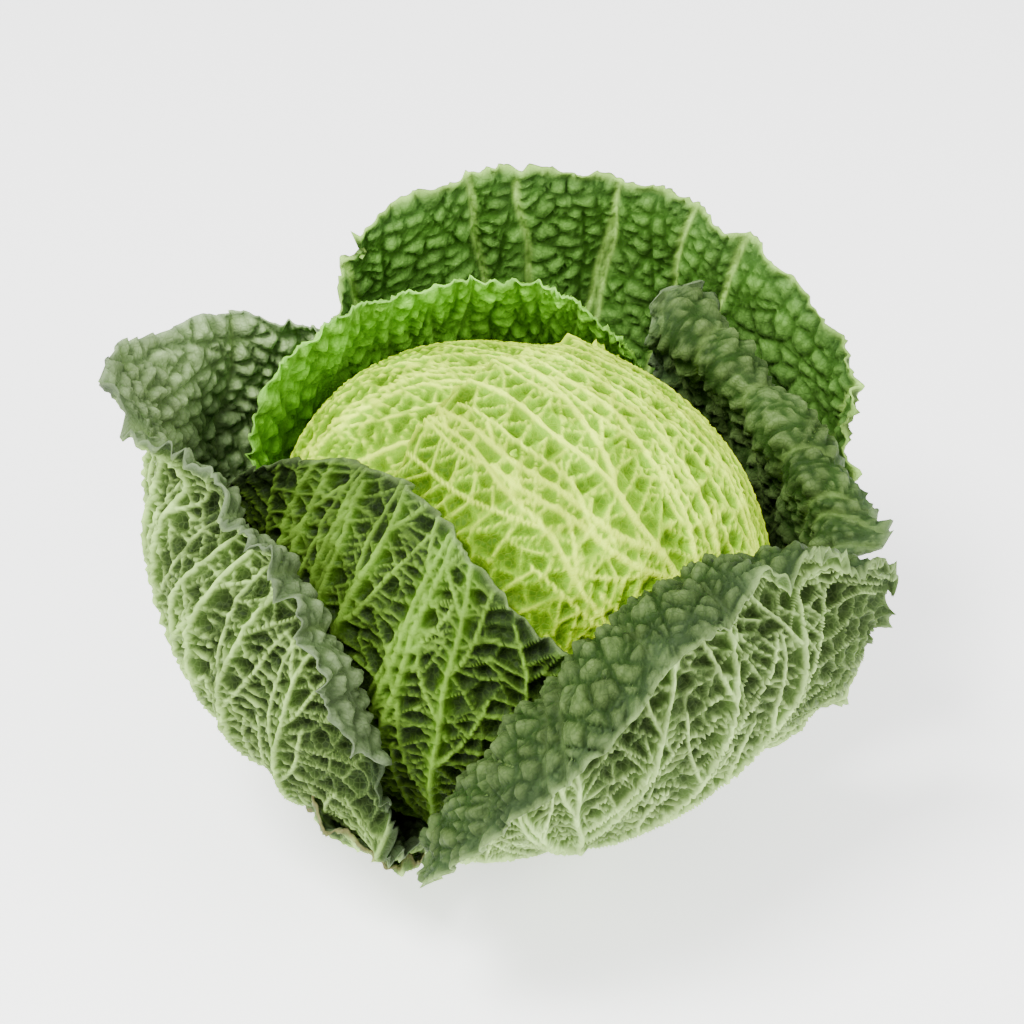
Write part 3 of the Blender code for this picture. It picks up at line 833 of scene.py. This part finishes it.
def margin_ruffle(skin, u, v, tip_distance, side_distance, rng, height):
    """Frills that stand out of the blade along the margin, alternately inwards and outwards."""
    total = np.zeros_like(u)
    lines = [(skin.at(np.ones(u.shape[1]), v[0]), tip_distance, 1, np.ones_like(u))]
    for side in (-1, 1):
        edge = skin.at(u[:, 0], np.full(u.shape[0], float(side)))
        rise = smooth_step((u - SIDE_RUFFLE_START) / SIDE_RUFFLE_RISE)
        lines.append((edge, side_distance, 0, (v * side > 0) * rise))
    for line, distance, axis, where in lines:
        travelled = margin_lengths(line)
        frill = RUFFLE_HEIGHT * wander(travelled, RUFFLE_LENGTH, rng)
        frill += FINE_RUFFLE_HEIGHT * wander(travelled, FINE_RUFFLE_LENGTH, rng)
        frill = frill[None, :] if axis else frill[:, None]
        total += height * frill * np.exp(-distance / MARGIN_BAND) * where
    return total


def shell(name, inner, outer, closed):
    """A thin mesh between two grids of points. Unless it is closed, it has a rim but no inner face."""
    rows, columns = inner.shape[:2]
    number = np.arange(rows * columns).reshape(rows, columns)
    quads = np.stack([number[:-1, :-1], number[:-1, 1:], number[1:, 1:], number[1:, :-1]], -1).reshape(-1, 4)
    border = np.concatenate([number[0, :-1], number[:-1, -1], number[-1, :0:-1], number[:0:-1, 0]])
    following = np.roll(border, -1)
    size = rows * columns
    rim = np.stack([border, border + size, following + size, following], -1)
    faces = np.concatenate([quads + size, rim[:, ::-1]] + ([quads[:, ::-1]] if closed else []))
    mesh = bpy.data.meshes.new(name)
    points = np.concatenate([inner.reshape(-1, 3), outer.reshape(-1, 3)])
    mesh.from_pydata(points.tolist(), [], faces.tolist())
    mesh.shade_smooth()
    made = bpy.data.objects.new(name, mesh)
    bpy.context.scene.collection.objects.link(made)
    return made


def paint(made, name, inner, outer):
    """A value at each vertex, for the material."""
    values = np.concatenate([np.ravel(inner), np.ravel(outer)]).astype(np.float32)
    made.data.attributes.new(name, "FLOAT", "POINT").data.foreach_set("value", values)


def line_at(distance, half_width):
    """1 on a line, and fading out beyond its half width."""
    return np.exp(-(distance / half_width) ** 2)


def rib_relief(net, points, scale, standing):
    """At each point, the ribs' height and paleness, and the distances to a large rib and to any rib."""
    everything = np.arange(len(net.ranks))
    gap, found = net.distances(points, everything, PIECES_COMPARED)
    widths = net.widths[found] * scale
    ridge = (net.heights[found] * standing * line_at(gap, widths)).max(axis=1)
    crest = (net.paleness[found] * line_at(gap, widths * PALE_SHARE + PALE_SPREAD)).max(axis=1)
    large_gap = net.distances(points, everything[net.ranks < BRANCH], 2)[0].min(axis=1)
    return ridge, crest, large_gap, gap.min(axis=1)


def dress_leaf(leaf, look, points, seed, wrapper):
    """The leaf's fine shell, with the values that its material reads."""
    rng = np.random.default_rng(seed)
    skin = Skin(points)
    span = margin_lengths(points[:, SKIN_COLUMNS // 2])[-1]
    net = grow_ribs(skin, rng, look.rib_headings, span)
    scallop = SCALLOP_DEPTH * min(MOST_SCALLOP_SHARE, look.ruffle)
    u, v, drawn_u, drawn_v, tip_distance, side_distance = leaf_places(skin, look.cells, rng, scallop)
    sheet = skin.at(drawn_u, drawn_v)
    normal = outward_normals(sheet)
    flat = sheet.reshape(-1, 3)
    shape = u.shape
    standing = look.rib_scale * (WRAPPER_RIB_SHARE if wrapper else 1)
    ridge, crest, large_gap, vein_gap = rib_relief(net, flat, look.rib_scale, standing)
    big_edge, blister_number, small_edge = blister_pattern(flat, vein_gap, rng)

    # Panels and blisters press the blade towards the head, and the ribs and the net stand on its outside.
    fade = smooth_step((u - RELIEF_START) / RELIEF_RISE)
    big = dome(big_edge, BLISTER_SIZE).reshape(shape)
    small = dome(small_edge, CRINKLE_SIZE).reshape(shape)
    panel = (1 - np.exp(-large_gap / PANEL_WIDTH)).reshape(shape)
    uneven = 1 + UNEVENNESS * ripple(flat, UNEVENNESS_WAVELENGTH, rng).reshape(shape)
    pitted = (BLISTER_DEPTH * big + CRINKLE_DEPTH * small) * uneven
    sunk = (look.panel_depth * panel + pitted) * fade * look.relief
    ruffle = margin_ruffle(skin, u, v, tip_distance, side_distance, rng, look.ruffle)
    raised = ridge + NET_HEIGHT * line_at(small_edge, NET_HALF_WIDTH)
    thickness = BLADE * (WRAPPER_BLADE_SHARE if wrapper else 1)
    inner = sheet + normal * (BLADE_OFFSET * look.relief + ruffle - sunk)[..., None]
    outer = inner + normal * (thickness + raised.reshape(shape))[..., None]
    made = shell(leaf.name + "_blade", inner, outer, not wrapper)

    # What the material reads at each vertex. Each value runs from 0 to 1, but for the light, which is painted
    # light and shade. The crease and blister values place painted shade in the hollows.
    big_line = BLISTER_LINE * line_at(big_edge, BLISTER_LINE_HALF_WIDTH)
    small_line = CRINKLE_LINE * line_at(small_edge, CRINKLE_LINE_HALF_WIDTH)
    big_crease = line_at(big_edge, BLISTER_CREASE_HALF_WIDTH)
    small_crease = CRINKLE_CREASE * line_at(small_edge, CRINKLE_CREASE_HALF_WIDTH)
    margin_distance = np.minimum(tip_distance, side_distance)
    values = {
        "vein": np.maximum(crest, np.maximum(big_line, small_line)),
        "rib": line_at(large_gap, LARGE_RIB_HALF_WIDTH),
        "panel": panel,
        "blister": (BIG_SHARE * big + SMALL_SHARE * small) * (BASE_BLISTER + (1 - BASE_BLISTER) * fade),
        "crease": np.maximum(big_crease, small_crease),
        "rim": np.exp(-margin_distance / RIM_BAND),
        "base": np.exp(-u / BASE_BAND),
        "tone": rng.uniform(0, 1, blister_number.max() + 1)[blister_number],
        # The light value is painted light and shade across the leaf.
        "light": along(look.light, v),
        "edge": line_at(margin_distance, EDGE_BAND),
    }
    paint(made, "outer", np.zeros(shape), np.ones(shape))
    for name, value in values.items():
        paint(made, name, value, value)
    made.data.materials.append(leaf_material(leaf.name, look))
    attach(made, "root")
    return made


# ---- Materials -------------------------------------------

LEAF_ROUGHNESS = 0.5
LEAF_SPECULAR = 0.04
LEAF_SUBSURFACE = 0.08
SUBSURFACE_RADIUS = (0.6, 1.0, 0.3)
SUBSURFACE_SCALE = 0.0012
PATCH_SIZE = 0.020
GRAIN_SIZE = 0.0012
FINE_NET_SIZE = 0.0021
TONE_RANGE = (0.82, 1.18)  # brightness from one blister to another
STALK_PALE = (0.60, 0.66, 0.34)
STALK_GREEN = (0.42, 0.50, 0.20)
STALK_PATCH, STALK_GRAIN = 0.006, 0.0015
HEAD_GREEN = (0.36, 0.58, 0.06)
HEAD_PATCH, HEAD_NET = 0.012, 0.006
PAPER = ((0.88, 0.88, 0.87), (0.92, 0.92, 0.91))
PAPER_PATCH = 0.4
PAPER_GLOW = 1.1


class Shader:
    """A material with one Principled BSDF, built from a few kinds of node."""

    def __init__(self, name, roughness):
        self.material = bpy.data.materials.new(name)
        self.material.use_nodes = True
        self.nodes = self.material.node_tree.nodes
        self.links = self.material.node_tree.links
        self.surface = self.nodes["Principled BSDF"]
        self.surface.inputs["Roughness"].default_value = roughness
        self.position = self.nodes.new("ShaderNodeTexCoord").outputs["Object"]

    def feed(self, socket, value):
        """Sets the socket to a number or a colour, or links another socket to it."""
        if isinstance(value, (int, float)):
            socket.default_value = value
        elif isinstance(value, tuple):
            opaque = len(value) == 3 and len(socket.default_value) == 4
            socket.default_value = (*value, 1) if opaque else value
        else:
            self.links.new(value, socket)

    def mix(self, factor, first, second):
        node = self.nodes.new("ShaderNodeMix")
        node.data_type = "RGBA"
        self.feed(node.inputs[0], factor)
        self.feed(node.inputs[6], first)
        self.feed(node.inputs[7], second)
        return node.outputs[2]

    def calc(self, operation, first, second=0.0):
        node = self.nodes.new("ShaderNodeMath")
        node.operation = operation
        self.feed(node.inputs[0], first)
        self.feed(node.inputs[1], second)
        return node.outputs[0]

    def attribute(self, name):
        node = self.nodes.new("ShaderNodeAttribute")
        node.attribute_name = name
        return node.outputs["Fac"]

    def spread(self, value, low, high, first=0.0, last=1.0):
        """The value's range from low to high, stretched from first to last and kept within them."""
        node = self.nodes.new("ShaderNodeMapRange")
        node.interpolation_type = "SMOOTHSTEP"
        for socket, entry in zip(node.inputs, (value, low, high, first, last)):
            self.feed(socket, entry)
        return node.outputs[0]

    def noise(self, size, detail=3.0):
        node = self.nodes.new("ShaderNodeTexNoise")
        node.inputs["Scale"].default_value = 1 / size
        node.inputs["Detail"].default_value = detail
        self.links.new(self.position, node.inputs["Vector"])
        return node.outputs["Fac"]

    def net(self, size):
        """The distance to the borders of small cells, in shares of their size."""
        node = self.nodes.new("ShaderNodeTexVoronoi")
        node.feature = "DISTANCE_TO_EDGE"
        node.inputs["Scale"].default_value = 1 / size
        self.links.new(self.position, node.inputs["Vector"])
        return node.outputs["Distance"]

    def brightness(self, colour, value):
        node = self.nodes.new("ShaderNodeHueSaturation")
        self.links.new(colour, node.inputs["Color"])
        self.links.new(value, node.inputs["Value"])
        return node.outputs["Color"]

    def bump(self, height, strength, distance):
        node = self.nodes.new("ShaderNodeBump")
        node.inputs["Strength"].default_value = strength
        node.inputs["Distance"].default_value = distance
        self.links.new(height, node.inputs["Height"])
        self.links.new(node.outputs["Normal"], self.surface.inputs["Normal"])


def leaf_material(name, look):
    """A leaf's two faces, from the values that dress_leaf paints on it."""
    m = Shader(name + "_skin", LEAF_ROUGHNESS)
    outer, vein, rib = m.attribute("outer"), m.attribute("vein"), m.attribute("rib")
    panel, blister, crease = m.attribute("panel"), m.attribute("blister"), m.attribute("crease")
    rim, base, tone = m.attribute("rim"), m.attribute("base"), m.attribute("tone")
    patch = m.noise(PATCH_SIZE)
    grain = m.noise(GRAIN_SIZE, 2.0)
    net_line = m.spread(m.net(FINE_NET_SIZE), 0.02, 0.16, 1.0, 0.0)

    # Inside: blister tops paler, painted shade in the valleys, creases and fine net between them, pale only
    # on the large veins.
    raised = m.calc("ADD", blister, m.calc("MULTIPLY", m.calc("SUBTRACT", patch, 0.5), 0.5))
    inside = m.mix(m.spread(raised, 0.05, 0.5), look.inside_valley_shade, look.inside)
    inside = m.mix(m.calc("MULTIPLY", crease, 0.9), inside, look.inside_valley_shade)
    inside = m.mix(m.calc("MULTIPLY", net_line, 0.25), inside, look.inside_valley_shade)
    inside = m.mix(m.calc("MULTIPLY", rib, look.inner_vein), inside, look.vein)

    # Outside: lighter flanks beside the ribs, painted shade darkening the sunk middles of the panels and the
    # pockets, a fine pale net, and pale ribs.
    outside = m.mix(m.spread(panel, 0.1, 0.55), look.flank, look.outside)
    pocket_shade = m.calc("MULTIPLY", m.spread(raised, 0.15, 0.85), m.spread(panel, 0.1, 0.6))
    outside = m.mix(m.calc("MULTIPLY", pocket_shade, 0.85), outside, look.outside_pocket_shade)
    outside = m.mix(m.calc("MULTIPLY", net_line, 0.05), outside, look.vein)
    outside = m.mix(m.spread(vein, 0.2, 0.9), outside, look.vein)

    colour = m.mix(outer, inside, outside)
    bloom = m.calc("MULTIPLY", m.spread(m.calc("ADD", rim, patch), 0.6, 1.3), look.bloom)
    colour = m.mix(bloom, colour, BLOOM)
    colour = m.mix(m.calc("MULTIPLY", m.attribute("edge"), 0.6), colour, look.edge)
    colour = m.mix(m.calc("MULTIPLY", base, 0.8), colour, look.vein)
    blister_tone = m.spread(tone, 0.0, 1.0, *TONE_RANGE)
    # Painted light and shade: the light value brightens or darkens the leaf across it, and the blister tone
    # varies it at random.
    colour = m.brightness(colour, m.calc("MULTIPLY", blister_tone, m.attribute("light")))
    m.links.new(colour, m.surface.inputs["Base Color"])
    m.surface.inputs["Specular IOR Level"].default_value = LEAF_SPECULAR
    m.surface.inputs["Subsurface Weight"].default_value = LEAF_SUBSURFACE
    m.surface.inputs["Subsurface Radius"].default_value = SUBSURFACE_RADIUS
    m.surface.inputs["Subsurface Scale"].default_value = SUBSURFACE_SCALE
    height = m.calc("ADD", m.calc("MULTIPLY", net_line, -0.6), m.calc("MULTIPLY", grain, 0.4))
    m.bump(height, 0.4, 0.0005)
    return m.material


def stalk_material():
    """Cream stalk with green patches."""
    m = Shader("stalk_skin", 0.6)
    patch = m.noise(STALK_PATCH)
    colour = m.mix(m.spread(patch, 0.35, 0.7), STALK_PALE, STALK_GREEN)
    m.links.new(colour, m.surface.inputs["Base Color"])
    m.bump(m.noise(STALK_GRAIN), 0.3, 0.0004)
    return m.material


def head_material():
    """The pale leaf that shows between the wrapper leaves, with a fine net."""
    m = Shader("head_skin", LEAF_ROUGHNESS)
    patch = m.noise(HEAD_PATCH)
    line = m.spread(m.net(HEAD_NET), 0.02, 0.14, 1.0, 0.0)
    colour = m.mix(m.spread(patch, 0.35, 0.7), HEART_BLADE, HEAD_GREEN)
    colour = m.mix(m.calc("MULTIPLY", line, 0.7), colour, HEART_VEIN)
    m.links.new(colour, m.surface.inputs["Base Color"])
    m.bump(line, 0.5, 0.0008)
    return m.material


def floor_material():
    """Nearly white paper, lit a little from itself."""
    m = Shader("floor_paper", 0.7)
    colour = m.mix(m.noise(PAPER_PATCH), *PAPER)
    m.links.new(colour, m.surface.inputs["Base Color"])
    m.surface.inputs["Emission Color"].default_value = (1, 1, 1, 1)
    m.surface.inputs["Emission Strength"].default_value = PAPER_GLOW
    return m.material


# ---- Stage -----------------------------------------------

FLOOR_HALF_WIDTH = 3.0
# Name, place, width and watts.
LIGHTS = (
    ("key", (-0.55, -0.5, 1.5), 0.5, 54),
    ("left", (-1.1, -0.6, 0.6), 0.6, 12),
    ("right", (1.1, -0.6, 0.9), 0.8, 22),
)
SKY = (0.97, 0.98, 1.0, 1)
SKY_STRENGTH = 1.35
CAMERA_ELEVATION = 38
CAMERA_DISTANCE = 1.15
VIEW_WIDTH = 0.3594
VIEW_SHIFT = (-0.0127, 0.0664)


def add_floor():
    """A wide flat floor under the stalk's cut."""
    mesh = bpy.data.meshes.new("floor")
    half = FLOOR_HALF_WIDTH
    corners = [(-half, -half, 0), (half, -half, 0), (half, half, 0), (-half, half, 0)]
    mesh.from_pydata(corners, [], [(0, 1, 2, 3)])
    floor = bpy.data.objects.new("floor", mesh)
    bpy.context.scene.collection.objects.link(floor)
    mesh.materials.append(floor_material())


def add_light(name, place, size, power):
    """A square light that points at the head."""
    light = bpy.data.lights.new(name, "AREA")
    light.energy = power
    light.size = size
    made = bpy.data.objects.new(name, light)
    made.location = place
    made.rotation_mode = "QUATERNION"
    made.rotation_quaternion = (Vector((0, 0, HEAD_CENTRE_Z)) - Vector(place)).to_track_quat("-Z", "Y")
    bpy.context.scene.collection.objects.link(made)


def add_world():
    """Even light from all round."""
    world = bpy.data.worlds.new("world")
    bpy.context.scene.world = world
    world.use_nodes = True
    background = world.node_tree.nodes["Background"]
    background.inputs["Color"].default_value = SKY
    background.inputs["Strength"].default_value = SKY_STRENGTH


def add_camera():
    """Looks down at the head from the front."""
    camera = bpy.data.cameras.new("camera")
    made = bpy.data.objects.new("camera", camera)
    rise = radians(CAMERA_ELEVATION)
    back = Vector((0, -cos(rise), sin(rise)))
    made.location = Vector((0, 0, HEAD_CENTRE_Z)) + back * CAMERA_DISTANCE
    made.rotation_mode = "QUATERNION"
    made.rotation_quaternion = (-back).to_track_quat("-Z", "Y")
    camera.sensor_width = 36
    camera.lens = camera.sensor_width * CAMERA_DISTANCE / VIEW_WIDTH
    camera.shift_x, camera.shift_y = VIEW_SHIFT
    camera.clip_start = 0.05
    bpy.context.scene.collection.objects.link(made)
    bpy.context.scene.camera = made


# ---- Everything ------------------------------------------

# Where each leaf's random draws start, with one more for each leaf.
OUTER_SEED, TORN_SEED, WRAPPER_SEED = 10, 20, 40


def repaint(node, material):
    """The solid's own mesh, shown with a procedural material."""
    solid = bpy.data.objects[node]
    solid.data.materials.clear()
    solid.data.materials.append(material)


def main():
    for n, leaf in enumerate(OUTER_LEAVES):
        piece = dress_leaf(leaf, LOOKS[leaf.name], outer_leaf_skin(leaf), OUTER_SEED + n, False)
        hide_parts(leaf.name)
    dress_leaf(TORN_LEAF, LOOKS["torn_leaf"], outer_leaf_skin(TORN_LEAF), TORN_SEED, False)
    for n, leaf in enumerate(WRAPPER_LEAVES):
        piece = dress_leaf(leaf, LOOKS[leaf.name], wrapper_leaf_skin(leaf), WRAPPER_SEED + n, True)
        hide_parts(leaf.name)
    repaint("stalk", stalk_material())
    repaint("head", head_material())
    add_floor()
    for light in LIGHTS:
        add_light(*light)
    add_world()
    add_camera()


main()
